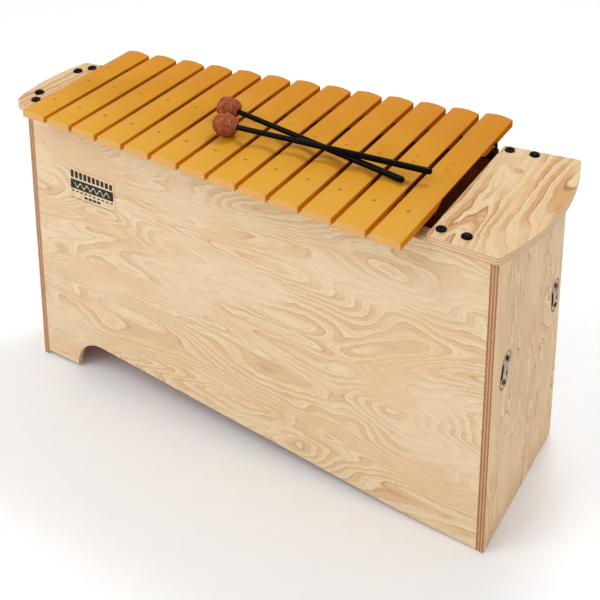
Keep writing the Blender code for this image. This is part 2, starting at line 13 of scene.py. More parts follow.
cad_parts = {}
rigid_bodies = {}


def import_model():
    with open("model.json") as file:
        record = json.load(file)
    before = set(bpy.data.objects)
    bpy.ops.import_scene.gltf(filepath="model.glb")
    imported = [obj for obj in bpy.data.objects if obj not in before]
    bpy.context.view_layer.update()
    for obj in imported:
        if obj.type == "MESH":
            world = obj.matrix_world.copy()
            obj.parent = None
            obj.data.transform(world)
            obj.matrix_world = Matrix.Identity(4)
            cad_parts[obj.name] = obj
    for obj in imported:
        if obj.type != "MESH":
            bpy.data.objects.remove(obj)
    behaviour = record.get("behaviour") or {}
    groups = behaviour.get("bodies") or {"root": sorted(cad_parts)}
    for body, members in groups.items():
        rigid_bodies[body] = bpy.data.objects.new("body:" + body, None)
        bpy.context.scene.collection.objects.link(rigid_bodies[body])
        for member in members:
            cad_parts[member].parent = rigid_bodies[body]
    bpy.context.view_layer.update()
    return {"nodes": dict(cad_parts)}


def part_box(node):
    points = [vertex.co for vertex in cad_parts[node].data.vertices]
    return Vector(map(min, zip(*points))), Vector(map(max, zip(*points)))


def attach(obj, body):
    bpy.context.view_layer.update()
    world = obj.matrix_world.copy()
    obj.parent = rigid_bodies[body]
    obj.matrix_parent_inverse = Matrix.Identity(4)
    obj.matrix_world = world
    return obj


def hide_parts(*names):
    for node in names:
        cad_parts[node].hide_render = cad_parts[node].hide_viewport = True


MM = 0.001

# Camera
CAMERA_AT = (0.9524, -1.5183, 1.4910)
CAMERA_AZIMUTH = 31.241
CAMERA_PITCH = 16.570
CAMERA_LENS = 70.0
CAMERA_SHIFT = -0.6835

# Studio
SKY_STRENGTH = 0.72
FLOOR_HALF = 12.0

# Bars
BAR_CROWN = 3.3 * MM
BAR_TOP_ROUND = 1.5 * MM
BAR_FOOT_ROUND = 0.8 * MM
BAR_END_ROUND = 2.4 * MM
ARCH_SHARE = 98.0 / 431.0  # half length of the thinned middle, as a share of the bar
ARCH_RAMP = 26.0 * MM
ARCH_DEPTHS = (5.0 * MM, 9.6 * MM)  # shortest bar, longest bar
PIN_HOLE_RADIUS = 2.7 * MM
PIN_WORN = 1.5 * MM  # how much of each pin's tip is worn
MARK_REACH = 5.0 * MM  # marks lie no further than this below the bar's top
# Marks on a bar: place across and along from its middle, half sizes, strength
BAR_MARKS = (
    (0.0, -2.0 * MM, 3.8 * MM, 1.0 * MM, 1.0),
    (-3.0 * MM, 18.0 * MM, 0.9 * MM, 1.9 * MM, 0.85),
    (3.0 * MM, 18.0 * MM, 1.8 * MM, 0.9 * MM, 0.85),
)

# Boards
EDGE_ROUND = 0.7 * MM
SMALL_ROUND = 0.3 * MM
SCREW_ROUND = 0.25 * MM
FINE_ROUND = 0.2 * MM
PLY_THICKNESS = 12.0 * MM
PLY_LAYERS = 5
BACK_SLANT = 0.146  # how far the back panel goes back for each metre to the right
BACK_NORMAL = Vector((-BACK_SLANT, 1.0, 0.0)).normalized()
INSIDE_MARGIN = 0.2 * MM
POCKET_FLOOR = 1.0 * MM  # painted shade fills the hanger pockets from here, up from the inner face, to here, down from the outer face and no nearer than this to the back edge
POCKET_RIM = 2.1 * MM  # to here, down from the outer face
POCKET_SIDE = 3.5 * MM  # and no nearer than this to the back edge

# Felt
FELT_HALF_WIDTH = 8.0 * MM
FELT_STEP = 3.0 * MM
FELT_PRESSED = 0.7 * MM  # extra depth under a bar
FELT_DROP = 1.2 * MM  # at the strip's ends
FELT_FUZZ = 0.12 * MM
FELT_SQUARENESS = 0.55  # 1 is an ellipse, less is boxier
PRESS_HALF = 22.0 * MM  # fully pressed this near a bar's middle
PRESS_FADE = 6.0 * MM

# Label
BADGE_PITCH = 9.8 * MM
BADGE_BAR_TOP = 25.5 * MM
BADGE_BAR_STEP = -0.45 * MM
BADGE_BAR_FOOT = 13.0 * MM
BADGE_WAVE = (420.0, 4.2 * MM)  # radians per metre, height

# Mallets
HEAD_RADIUS = 19.0 * MM
HEAD_HALF = 22.4 * MM
HEAD_MARGIN = 0.4 * MM
HEAD_POWER = 2.6  # 2 is an ellipsoid, more is squarer
HEAD_TAPER = 0.08
HEAD_WRAPS = 48
HEAD_LUMP = 1.6 * MM
WRAP_STEPS = 40
WRAP_TILT = 0.30
STRAND_RADIUS = 1.3 * MM
STRAND_SIDES = 6
STRAND_LIFT = 0.7 * MM
FILL_GAP = 1.0 * MM

# Colours
GOLD = (190, 127, 12)
GOLD_LIGHT = (197, 136, 20)
GOLD_DEEP = (180, 113, 8)
GOLD_FRONT_HIGHLIGHT = (203, 148, 44)
GOLD_BACK_SHADE = (186, 117, 8)
BAR_SIDE_LIT = (212, 130, 28)
BAR_SIDE_SHADE = (186, 103, 13)
BAR_CUT = (228, 180, 106)
BAR_CUT_DARK = (216, 158, 86)
MARK_BROWN = (66, 34, 8)
PALE = (238, 213, 177)
TAN = (225, 192, 148)
TAN_DARK = (208, 170, 122)
PINK = (232, 196, 154)
SIDE_PALE = (239, 207, 163)
SIDE_TAN = (222, 186, 138)
SIDE_DARK = (176, 135, 90)
INSIDE_SHADE_TINT = (205, 125, 80)
PLATE_PALE = (214, 186, 144)
PLATE_TAN = (194, 150, 98)
PLATE_DARK = (154, 110, 66)
HONEY = (206, 152, 92)
PLY_LIGHT = (207, 158, 116)
PLY_DARK = (157, 103, 66)
RIM_LIGHT = (228, 198, 158)
RIM_DARK = (206, 166, 124)
SOFTWOOD = (212, 176, 130)
SOFTWOOD_DARK = (186, 146, 100)
PLUG = (204, 158, 122)
PLUG_DARK = (182, 134, 100)
POCKET_SHADE = (34, 20, 14)
BLACK = (9, 6, 5)
PLASTIC = (18, 16, 16)
RUBBER = (30, 28, 27)
FELT = (74, 20, 18)
FELT_DARK = (30, 10, 10)
STRAP_DULL = (166, 145, 124)
STRAP_BRIGHT = (202, 180, 156)
SCREW_DULL = (54, 46, 40)
SCREW_BRIGHT = (108, 94, 80)
YARN = (180, 93, 53)
YARN_DARK_AND_SHADE = (112, 50, 26)
YARN_PALE_AND_HIGHLIGHT = (222, 146, 104)
YARN_CREASE_SHADE = (84, 36, 20)
BADGE_DARK = (26, 21, 18)
PINE = (PALE, TAN, TAN_DARK, PINK)

# Veneer figures: features per metre along the grain and across it, rings per feature, and
# rings per metre straight across
WIDE_FIGURE = (2.0, 8.0, 30.0, 30.0)
SIDE_FIGURE = (5.0, 22.0, 9.0, 60.0)
PLATE_FIGURE = (3.2, 11.0, 6.0, 52.0)
FRONT_SEED = 1.0


def linear(colour):
    """sRGB values from 0 to 255 as a linear RGBA colour."""
    shares = [value / 255 for value in colour]
    return (*[c / 12.92 if c <= 0.04045 else ((c + 0.055) / 1.055) ** 2.4 for c in shares], 1.0)


class Look:
    """A material and short ways to add nodes to it. Positions are in the shared frame, at rest."""

    def __init__(self, name):
        self.material = bpy.data.materials.new(name)
        self.material.use_nodes = True
        self.tree = self.material.node_tree
        self.shader = self.tree.nodes["Principled BSDF"]
        self.position = self.add("TexCoord", out="Object")
        parts = self.tree.nodes.new("ShaderNodeSeparateXYZ")
        self.tree.links.new(self.position, parts.inputs[0])
        self.x, self.y, self.z = parts.outputs

    def feed(self, socket, value):
        if isinstance(value, bpy.types.NodeSocket):
            self.tree.links.new(value, socket)
        elif socket.type == "RGBA" and len(value) == 3:
            socket.default_value = linear(value)
        else:
            socket.default_value = value

    def add(self, kind, inputs=None, out=0, **settings):
        node = self.tree.nodes.new("ShaderNode" + kind)
        for name, value in settings.items():
            setattr(node, name, value)
        for key, value in (inputs or {}).items():
            self.feed(node.inputs[key], value)
        return node.outputs[out]

    def math(self, operation, a, b=0.0, c=0.0, clamp=False):
        return self.add("Math", {0: a, 1: b, 2: c}, operation=operation, use_clamp=clamp)

    def scaled(self, value, factor, offset=0.0):
        return self.math("MULTIPLY_ADD", value, factor, offset)

    def vector(self, x=0.0, y=0.0, z=0.0):
        return self.add("CombineXYZ", {0: x, 1: y, 2: z})

    def noise(self, vector, scale=1.0, detail=2.0, roughness=0.5, distortion=0.0):
        inputs = {
            "Vector": vector,
            "Scale": scale,
            "Detail": detail,
            "Roughness": roughness,
            "Distortion": distortion,
        }
        return self.add("TexNoise", inputs)

    def ramp(self, value, stops):
        """Colours at positions, with straight changes between them."""
        node = self.tree.nodes.new("ShaderNodeValToRGB")
        self.tree.links.new(value, node.inputs[0])
        steps = node.color_ramp.elements
        while len(steps) < len(stops):
            steps.new(0.5)
        for step, (place, colour) in zip(steps, stops):
            step.position = place
            step.color = linear(colour)
        return node.outputs[0]

    def curve(self, value, low, high, start=0.0, end=1.0):
        """value mapped from low..high to start..end, smoothly and clamped."""
        inputs = {"Value": value, "From Min": low, "From Max": high, "To Min": start, "To Max": end}
        return self.add("MapRange", inputs, interpolation_type="SMOOTHSTEP")

    def mix(self, share, a, b, blend="MIX"):
        inputs = {0: share, 6: a, 7: b}
        return self.add("Mix", inputs, out=2, data_type="RGBA", blend_type=blend)

    def along(self, direction):
        """Distance from the frame's origin along a unit direction."""
        inputs = {0: self.position, 1: direction}
        return self.add("VectorMath", inputs, out="Value", operation="DOT_PRODUCT")

    def from_uv(self):
        """The two values of the mesh's own UV map."""
        node = self.tree.nodes.new("ShaderNodeSeparateXYZ")
        self.tree.links.new(self.add("TexCoord", out="UV"), node.inputs[0])
        return node.outputs[0], node.outputs[1]

    def facing(self, axis):
        """1 on faces whose normal lies along the axis, 0 on the others."""
        normal = self.add("TexCoord", out="Normal")
        dot = self.add("VectorMath", {0: normal, 1: axis}, out="Value", operation="DOT_PRODUCT")
        return self.math("GREATER_THAN", self.math("ABSOLUTE", dot), 0.75)

    def finish(self, colour, roughness, bump, strength, distance, specular=0.5, metallic=0.0):
        self.feed(self.shader.inputs["Base Color"], colour)
        self.feed(self.shader.inputs["Roughness"], roughness)
        self.feed(self.shader.inputs["Specular IOR Level"], specular)
        self.feed(self.shader.inputs["Metallic"], metallic)
        inputs = {"Height": bump, "Strength": strength, "Distance": distance}
        self.feed(self.shader.inputs["Normal"], self.add("Bump", inputs, out="Normal"))
        return self.material


def clear_scene():
    for obj in list(bpy.data.objects):
        bpy.data.objects.remove(obj, do_unlink=True)


# Materials


def within(look, value, middle, half):
    """1 where the value is no further than half from the middle, 0 elsewhere."""
    return look.math("COMPARE", value, middle, half)


def veneer(look, along, across, seed, figure, palette):
    """Rotary-cut pine: growth rings that wander along the board, over fine fibres.

    figure is (features per metre along, per metre across, rings per feature, rings per metre
    straight across). palette is (pale, middle, dark, patch).
    """
    per_along, per_across, rings, straight = figure
    pale, middle, dark, patch = palette
    ragged_place = look.vector(look.scaled(along, 38.0), look.scaled(across, 70.0), seed)
    ragged = look.noise(ragged_place, 1.0, 4.0, 0.65)
    across_bent = look.math("ADD", across, look.scaled(ragged, 0.012, -0.006))
    place = look.vector(look.scaled(along, per_along), look.scaled(across_bent, per_across), seed)
    field = look.noise(place, 1.0, 1.6, 0.45, 0.7)
    level = look.scaled(field, rings, look.scaled(across_bent, straight))
    ring = look.math("FRACT", level)
    stops = [(0.0, pale), (0.34, pale), (0.62, middle), (0.84, middle), (0.93, dark), (1.0, pale)]
    colour = look.ramp(ring, stops)
    fine = look.math("FRACT", look.scaled(level, 3.0))
    line = look.scaled(within(look, fine, 0.8, 0.12), 0.35)
    colour = look.mix(line, colour, dark)
    # Calm stretches without lines, then patches of another tint
    calm = look.noise(look.vector(look.scaled(along, 4.0), look.scaled(across, 11.0), seed + 5), 1.0)
    colour = look.mix(look.curve(calm, 0.46, 0.62, 0.0, 0.7), colour, pale)
    tint = look.noise(look.vector(look.scaled(along, 5.0), look.scaled(across, 14.0), seed + 9), 1.0)
    colour = look.mix(look.curve(tint, 0.5, 0.66, 0.0, 0.6), colour, patch)
    fibre_place = look.vector(look.scaled(along, 30.0), look.scaled(across, 700.0), seed)
    fibre = look.noise(fibre_place, 1.0, 3.0, 0.6)
    shade = look.ramp(fibre, [(0.3, (226, 222, 216)), (0.62, (255, 255, 255))])
    colour = look.mix(0.6, colour, shade, "MULTIPLY")
    return colour, fibre, ring


def ply_edge(look, depth, light, dark):
    """Cut edge of plywood: layers across the thickness, with thin glue lines."""
    level = look.scaled(depth, PLY_LAYERS / PLY_THICKNESS)
    layer = look.math("FLOOR", level)
    odd = look.math("PINGPONG", layer, 1.0)
    ripple = look.noise(look.position, 260.0, 3.0, 0.6)
    colour = look.mix(odd, dark, light)
    near = look.math("ABSOLUTE", look.math("SUBTRACT", look.math("FRACT", level), 0.5))
    glue = look.curve(near, 0.40, 0.5, 0.0, 0.5)
    colour = look.mix(glue, colour, tuple(int(c * 0.7) for c in dark))
    colour = look.mix(look.curve(ripple, 0.35, 0.7, 0.0, 0.3), colour, light)
    streak = look.noise(look.position, 40.0, 2.0, 0.5)
    return look.mix(look.curve(streak, 0.45, 0.7, 0.0, 0.25), colour, dark), ripple


def near_face(node, normal):
    """Distance along the normal to a CAD node's nearest point."""
    return min(vertex.co.dot(Vector(normal)) for vertex in frame["nodes"][node].data.vertices)


def inside_shade_mask(look):
    """Where the inside gets painted shade: 1 between the inner faces of the four upright panels and
    below the rims, 0 outside.
    """
    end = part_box("right_side_panel")[0].x - INSIDE_MARGIN
    front_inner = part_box("front_panel")[1]
    back_inner = near_face("back_panel", BACK_NORMAL) + INSIDE_MARGIN
    sides = look.math("LESS_THAN", look.math("ABSOLUTE", look.x), end)
    front = look.math("GREATER_THAN", look.y, front_inner.y - INSIDE_MARGIN)
    back = look.math("LESS_THAN", look.along(BACK_NORMAL), back_inner)
    below = look.math("LESS_THAN", look.z, front_inner.z - 1.5 * INSIDE_MARGIN)
    return look.math("MULTIPLY", look.math("MULTIPLY", sides, front), look.math("MULTIPLY", back, below))


def pocket_shade_mask(look):
    """Where painted shade goes: 1 inside the right side panel's pockets and screw holes, 0 elsewhere."""
    low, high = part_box("right_side_panel")
    deep = look.math("GREATER_THAN", look.x, low.x + POCKET_FLOOR)
    shallow = look.math("LESS_THAN", look.x, high.x - POCKET_RIM)
    across = within(look, look.y, 0.0, high.y - POCKET_SIDE)
    return look.math("MULTIPLY", look.math("MULTIPLY", deep, shallow), across)


def plywood(name, node, grain, normal, figure, palette, edge=(PLY_LIGHT, PLY_DARK), seed=1.0):
    """Lacquered plywood: veneer on the two faces, layers on the cut edges.

    The layers start at the node's nearest face along the normal.
    """
    look = Look(name)
    axes = {"x": look.x, "y": look.y, "z": look.z}
    along = axes.pop(grain)
    thick = max("xyz", key=lambda axis: abs(normal["xyz".index(axis)]))
    axes.pop(thick)
    across = next(iter(axes.values()))
    colour, fibre, ring = veneer(look, along, across, seed, figure, palette)
    depth = look.math("SUBTRACT", look.along(normal), near_face(node, normal))
    edge_colour, ripple = ply_edge(look, depth, *edge)
    face = look.facing(normal)
    colour = look.mix(face, edge_colour, colour)
    # Painted shade: faces inside the box are multiplied by a dark red-brown tint.
    colour = look.mix(inside_shade_mask(look), colour, INSIDE_SHADE_TINT, "MULTIPLY")
    if node == "right_side_panel":
        # Painted shade: the hanger pockets and screw holes are filled near-black.
        colour = look.mix(pocket_shade_mask(look), colour, POCKET_SHADE)
    height = look.mix(face, ripple, fibre)
    sheen = look.curve(ring, 0.0, 1.0, 0.62, 0.52)
    return look.finish(colour, sheen, height, 0.10, 0.0006, specular=0.3)


def solid_wood(name, grain, colour, dark):
    """Planed softwood with straight lines along the grain."""
    look = Look(name)
    stretch = {"x": (6, 160, 160), "y": (160, 6, 160), "z": (160, 160, 6)}[grain]
    place = look.add("VectorMath", {0: look.position, 1: stretch}, operation="MULTIPLY")
    lines = look.noise(place, 1.0, 3.0, 0.55, 0.4)
    tone = look.ramp(lines, [(0.35, colour), (0.62, dark)])
    # Painted shade: faces inside the box are multiplied by a dark red-brown tint.
    tone = look.mix(inside_shade_mask(look), tone, INSIDE_SHADE_TINT, "MULTIPLY")
    return look.finish(tone, 0.65, lines, 0.15, 0.0005, specular=0.3)


def bar_resin():
    """Glass-fibre bar: gold lacquer over lengthwise fibres, paler on the cuts, with painted highlight
    towards the front and painted shade towards the back and on the long sides.
    """
    look = Look("bar_resin")
    strand = look.noise(look.vector(look.scaled(look.x, 900), look.scaled(look.y, 14), 0.0), 1.0, 3.0)
    cloud = look.noise(look.position, 9.0, 2.0, 0.5)
    tone = look.ramp(cloud, [(0.38, GOLD), (0.62, GOLD_LIGHT)])
    tone = look.mix(look.curve(strand, 0.35, 0.7, 0.0, 0.35), tone, GOLD_DEEP)
    # Painted highlight: the top turns paler towards the front ends.
    tone = look.mix(look.curve(look.y, -0.21, -0.02, 0.95, 0.0), tone, GOLD_FRONT_HIGHLIGHT)
    # Painted shade: the top turns deeper towards the back.
    tone = look.mix(look.curve(look.y, 0.0, 0.14, 0.0, 0.7), tone, GOLD_BACK_SHADE)
    # Painted light and shade: the long sides go from lit orange at the front to shaded red-brown at the
    # back.
    side = look.facing((1.0, 0.0, 0.0))
    side_lit_to_shade = look.mix(look.curve(look.y, -0.2, 0.04), BAR_SIDE_LIT, BAR_SIDE_SHADE)
    tone = look.mix(side, tone, side_lit_to_shade)
    cut = look.facing((0.0, 1.0, 0.0))
    grit = look.noise(look.position, 420.0, 2.0, 0.6)
    tone = look.mix(cut, tone, look.ramp(grit, [(0.3, BAR_CUT_DARK), (0.7, BAR_CUT)]))
    tone = look.mix(bar_marks(look), tone, MARK_BROWN)
    roughness = look.curve(strand, 0.3, 0.7, 0.38, 0.5)
    gloss = look.scaled(side, -0.12, 0.12)
    return look.finish(tone, roughness, strand, 0.12, 0.0004, specular=gloss)


def bar_marks(look):
    """Tuner's marks on each bar: a dash at mid-length and two short ticks behind it.

    The bar's own place, from its middle, is in the UV map.
    """
    u, v = look.from_uv()
    top = look.math("GREATER_THAN", look.z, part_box(bar_names()[0])[1].z - MARK_REACH)
    worn = look.noise(look.position, 900.0, 2.0, 0.6)
    share = 0.0
    for u_at, v_at, half_u, half_v, weight in BAR_MARKS:
        du = look.math("ABSOLUTE", look.math("SUBTRACT", u, u_at))
        dv = look.math("ABSOLUTE", look.math("SUBTRACT", v, v_at))
        inside_u = look.curve(du, half_u * 0.7, half_u * 1.2, weight, 0.0)
        inside_v = look.curve(dv, half_v * 0.6, half_v * 1.3, 1.0, 0.0)
        share = look.math("MAXIMUM", share, look.math("MULTIPLY", inside_u, inside_v))
    share = look.math("MULTIPLY", share, look.curve(worn, 0.3, 0.55, 0.45, 1.0))
    return look.math("MULTIPLY", share, top)


def black_plastic():
    """Moulded black plastic; the tips of the front pins are worn to brown."""
    look = Look("black_plastic")
    grain = look.noise(look.position, 900.0, 2.0, 0.5)
    tip = look.math("GREATER_THAN", look.z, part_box("front_pin_strip")[1].z - PIN_WORN)
    tone = look.mix(tip, PLASTIC, look.ramp(grain, [(0.3, (150, 98, 26)), (0.7, (186, 128, 44))]))
    roughness = look.curve(grain, 0.3, 0.7, 0.45, 0.6)
    return look.finish(tone, roughness, grain, 0.1, 0.0002, specular=0.12)


def gloss_black(name, roughness):
    """Smooth black lacquer with faint smears."""
    look = Look(name)
    smear = look.noise(look.position, 60.0, 3.0, 0.6)
    sheen = look.curve(smear, 0.3, 0.7, roughness, roughness + 0.1)
    return look.finish(BLACK, sheen, smear, 0.05, 0.0002, specular=0.06)


def felt():
    """Pressed wool felt."""
    look = Look("felt")
    fuzz = look.noise(look.position, 1400.0, 4.0, 0.7)
    blotch = look.noise(look.position, 120.0, 3.0, 0.6)
    tone = look.ramp(fuzz, [(0.3, (46, 12, 12)), (0.7, FELT)])
    tone = look.mix(look.curve(blotch, 0.4, 0.7, 0.0, 0.4), tone, FELT_DARK)
    return look.finish(tone, 0.95, fuzz, 0.8, 0.0008, specular=0.1)


def steel(name, dull, bright):
    """Plated steel, a little scuffed, with painted shade in its corners."""
    look = Look(name)
    scuff = look.noise(look.position, 300.0, 4.0, 0.65)
    stain = look.noise(look.position, 90.0, 2.0, 0.5)
    tone = look.ramp(stain, [(0.35, dull), (0.65, bright)])
    # Painted shade: ambient occlusion darkens corners, slots and recesses towards near-black.
    shade_ao = look.add("AmbientOcclusion", {"Distance": 3 * MM}, out="AO", samples=8)
    tone = look.mix(look.curve(shade_ao, 0.35, 0.85, 1.0, 0.0), tone, (22, 16, 14))
    return look.finish(tone, look.curve(scuff, 0.3, 0.7, 0.28, 0.5), scuff, 0.25, 0.0003, metallic=1.0)


def yarn():
    """Wound wool: twisted plies along each strand, with painted shade in their creases, painted sheen on
    the fuzz, and uneven dye with painted highlight and shade.
    """
    look = Look("mallet_yarn")
    along, around = look.from_uv()
    turn = look.math("ADD", look.scaled(along, 500.0), look.scaled(around, 2.0))
    ply = look.math("PINGPONG", turn, 1.0)
    fuzz = look.noise(look.position, 1800.0, 3.0, 0.7)
    # Uneven dye with painted highlight and shade: strands run from dark to pale along their length.
    dye_and_light = look.noise(look.vector(look.scaled(along, 40.0)), 1.0, 2.0)
    tone = look.mix(look.curve(dye_and_light, 0.38, 0.62), YARN_DARK_AND_SHADE, YARN)
    tone = look.mix(look.curve(dye_and_light, 0.56, 0.7, 0.0, 0.55), tone, YARN_PALE_AND_HIGHLIGHT)
    # Painted shade in the creases between the plies.
    tone = look.mix(look.curve(ply, 0.0, 0.5, 0.45, 0.0), tone, YARN_CREASE_SHADE)
    # Painted sheen: the fuzz turns pale.
    tone = look.mix(look.curve(fuzz, 0.48, 0.7, 0.0, 0.8), tone, YARN_PALE_AND_HIGHLIGHT)
    height = look.math("ADD", ply, fuzz)
    return look.finish(tone, 0.95, height, 0.6, 0.0005, specular=0.15)


def badge_face():
    """A clear printed label: stepped bars, a dark band with a clear wave, dashes and thin lines."""
    look = Look("badge_face")
    low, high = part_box("badge")
    centre = (low + high) / 2
    u = look.math("SUBTRACT", look.x, centre.x)
    v = look.math("SUBTRACT", look.z, centre.z)
    column = look.math("DIVIDE", u, BADGE_PITCH)
    spot = look.scaled(look.math("SUBTRACT", look.math("FRACT", column), 0.5), BADGE_PITCH)
    top = look.scaled(look.math("FLOOR", column), BADGE_BAR_STEP, BADGE_BAR_TOP)
    stripe = look.math("MULTIPLY", within(look, spot, 0.0, 3.5 * MM), look.math("LESS_THAN", v, top))
    stripe = look.math("MULTIPLY", stripe, look.math("GREATER_THAN", v, BADGE_BAR_FOOT))
    turns, height = BADGE_WAVE
    wave = look.scaled(look.math("SINE", look.scaled(u, turns)), height)
    clear = look.math("MULTIPLY", within(look, v, wave, 1.3 * MM), within(look, u, 0.0, 40 * MM))
    band = look.math("SUBTRACT", within(look, v, 0.5 * MM, 9.3 * MM), clear, clamp=True)
    dash = look.math("MULTIPLY", within(look, v, -13.5 * MM, 1.4 * MM), within(look, spot, 0.0, 3 * MM))
    block = look.math("MULTIPLY", within(look, v, -21 * MM, 2.4 * MM), within(look, spot, 0.0, 4 * MM))
    block = look.math("MULTIPLY", block, within(look, u, 0.0, 2 * BADGE_PITCH))
    share = within(look, v, -28 * MM, 0.5 * MM)
    for printed in (stripe, band, dash, block):
        share = look.math("MAXIMUM", share, printed)
    share = look.math("MULTIPLY", share, within(look, u, 0.0, 5 * BADGE_PITCH))
    ground, fibre, _ = veneer(look, look.x, look.z, FRONT_SEED, WIDE_FIGURE, PINE)
    tone = look.mix(share, ground, BADGE_DARK)
    return look.finish(tone, 0.5, fibre, 0.05, 0.0002, specular=0.3)


def pale_floor():
    """Plain white studio floor."""
    look = Look("pale_floor")
    speck = look.noise(look.position, 30.0, 2.0, 0.5)
    tone = look.ramp(speck, [(0.3, (247, 249, 252)), (0.7, (250, 251, 253))])
    return look.finish(tone, 0.8, speck, 0.05, 0.001, specular=0.1)


# Meshes


def new_object(name, mesh, body, slot, *nodes):
    """A piece that rides on a body and stands for CAD nodes."""
    obj = bpy.data.objects.new(name, mesh)
    bpy.context.scene.collection.objects.link(obj)
    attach(obj, body)
    if nodes:
        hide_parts(*nodes)
    return obj


def mesh_of(name, points, faces, material, sharp=40.0):
    """A smooth mesh with edges over the sharp angle, in degrees, kept crisp."""
    mesh = bpy.data.meshes.new(name)
    mesh.from_pydata(points, [], faces)
    shape = bmesh.new()
    shape.from_mesh(mesh)
    bmesh.ops.recalc_face_normals(shape, faces=shape.faces)
    shape.to_mesh(mesh)
    shape.free()
    mesh.shade_smooth()
    mesh.set_sharp_from_angle(angle=math.radians(sharp))
    mesh.materials.append(material)
    return mesh


def tube_faces(count, size):
    """Faces of a closed tube of count rings of size points each."""
    faces = []
    for row in range(count - 1):
        for i in range(size):
            j = (i + 1) % size
            a = row * size
            faces.append((a + i, a + j, a + size + j, a + size + i))
    last = (count - 1) * size
    return faces + [tuple(range(size)), tuple(range(last, last + size))]


def turned(profile, start, direction, segments=48):
    """Points and faces of a profile of (distance along, radius) turned about a direction."""
    axis = Vector(direction).normalized()
    side = axis.orthogonal().normalized()
    other = axis.cross(side)
    points = []
    rings = []
    for along, radius in profile:
        first = len(points)
        count = segments if radius else 1
        for i in range(count):
            turn = 2 * math.pi * i / segments
            offset = (side * math.cos(turn) + other * math.sin(turn)) * radius
            points.append(Vector(start) + axis * along + offset)
        rings.append([first + i % count for i in range(segments)])
    faces = []
    for low, high in zip(rings, rings[1:]):
        for i in range(segments):
            j = (i + 1) % segments
            faces.append(tuple(dict.fromkeys((low[i], low[j], high[j], high[i]))))
    return points, faces


def board(obj, material, width=EDGE_ROUND):
    """A CAD board with its facets welded, its corners eased and its veneer on."""
    obj.data.materials.clear()
    obj.data.materials.append(material)
    if obj.data.has_custom_normals:
        obj.data.attributes.remove(obj.data.attributes["custom_normal"])
    obj.data.shade_smooth()
    weld = obj.modifiers.new("weld", "WELD")
    weld.merge_threshold = 0.00001
    flat = obj.modifiers.new("flat", "DECIMATE")
    flat.decimate_type = "DISSOLVE"
    flat.angle_limit = math.radians(0.3)
    ease = obj.modifiers.new("ease", "BEVEL")
    ease.width = width
    ease.segments = 3
    ease.limit_method = "ANGLE"
    ease.angle_limit = math.radians(35)
    ease.harden_normals = True
    ease.use_clamp_overlap = True


def arch_profile(y, middle, arch, depth):
    """How far the underside is cut up at y."""
    reach = arch - abs(y - middle)
    if reach <= 0:
        return 0.0
    share = min(reach / ARCH_RAMP, 1.0)
    return depth * (1 - math.cos(math.pi * share)) / 2


def bar_section(half, low, high, inset, drop):
    """One cross-section of a bar, as (across, height), anticlockwise from the lower left."""
    half -= inset
    top = high - drop
    crown = BAR_CROWN * (half / (half + inset)) ** 2
    shoulder = top - crown
    steps = 5
    section = []
    foot = min(BAR_FOOT_ROUND, (shoulder - low) * 0.3)
    for side in (1, -1):
        corner = []
        for k in range(steps + 1):
            turn = math.pi / 2 * k / steps
            across = half - foot + foot * math.sin(turn)
            corner.append((across, low + foot - foot * math.cos(turn)))
        rim = min(BAR_TOP_ROUND, (shoulder - low) * 0.45)
        for k in range(steps):
            turn = math.pi / 2 * k / steps
            across = half - rim + rim * math.cos(turn)
            corner.append((across, shoulder - rim + rim * math.sin(turn)))
        for k in range(7):
            across = (half - rim) * (1 - k / 7)
            rise = 1 - (across / half) ** 2
            base = 1 - ((half - rim) / half) ** 2
            corner.append((across, shoulder + crown * (rise - base) / (1 - base)))
        if side == 1:
            section += corner + [(0.0, shoulder + crown)]
        else:
            section += [(-u, v) for u, v in reversed(corner)]
    return section


def bar_mesh(name, share, material):
    """A bar's solid: crowned top, rounded edges and ends, and a thinned middle underneath."""
    low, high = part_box(name)
    x = (low.x + high.x) / 2
    half = (high.x - low.x) / 2
    length = high.y - low.y
    middle = (low.y + high.y) / 2
    arch = ARCH_SHARE * length
    depth = ARCH_DEPTHS[0] + (ARCH_DEPTHS[1] - ARCH_DEPTHS[0]) * share
    ends = []
    for k in range(6):
        turn = math.pi / 2 * k / 5
        ends.append((BAR_END_ROUND * (1 - math.sin(turn)), BAR_END_ROUND * (1 - math.cos(turn))))
    ends.reverse()
    stations = [(low.y + back, inset) for inset, back in ends[::-1]]
    count = int(length / (6 * MM))
    first = low.y + BAR_END_ROUND
    last = high.y - BAR_END_ROUND
    stations += [(first + (last - first) * k / count, 0.0) for k in range(1, count)]
    stations += [(high.y - back, inset) for inset, back in ends]
    points = []
    for y, inset in stations:
        cut = arch_profile(y, middle, arch, depth)
        section = bar_section(half, low.z + cut + inset * 0.35, high.z, inset, inset * 0.45)
        points += [(x + u, y, v) for u, v in section]
    mesh = mesh_of(name + "_cast", points, tube_faces(len(stations), len(section)), material, 50)
    local = mesh.uv_layers.new(name="local")
    for loop in mesh.loops:
        at = mesh.vertices[loop.vertex_index].co
        local.data[loop.index].uv = (at.x - x, at.y - middle)
    return mesh


def pin_hole(name):
    """Points and faces of the cutter for a bar's pin hole, flared at the top."""
    low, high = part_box(name)
    strip_low, strip_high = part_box("front_pin_strip")
    place = ((low.x + high.x) / 2, (strip_low.y + strip_high.y) / 2, 0)
    flare = 0.5 * MM
    mouth = high.z - 0.35 * MM
    profile = [
        (low.z - 0.01, 0),
        (low.z - 0.01, PIN_HOLE_RADIUS),
        (mouth - flare, PIN_HOLE_RADIUS),
        (mouth + 4 * flare, PIN_HOLE_RADIUS + 5 * flare),
        (mouth + 4 * flare, 0),
    ]
    return turned(profile, place, (0, 0, 1), 32)


def bar_names():
    """Names of the bars, from the longest to the shortest."""
    return sorted(name for name in frame["nodes"] if name.startswith("bar_"))


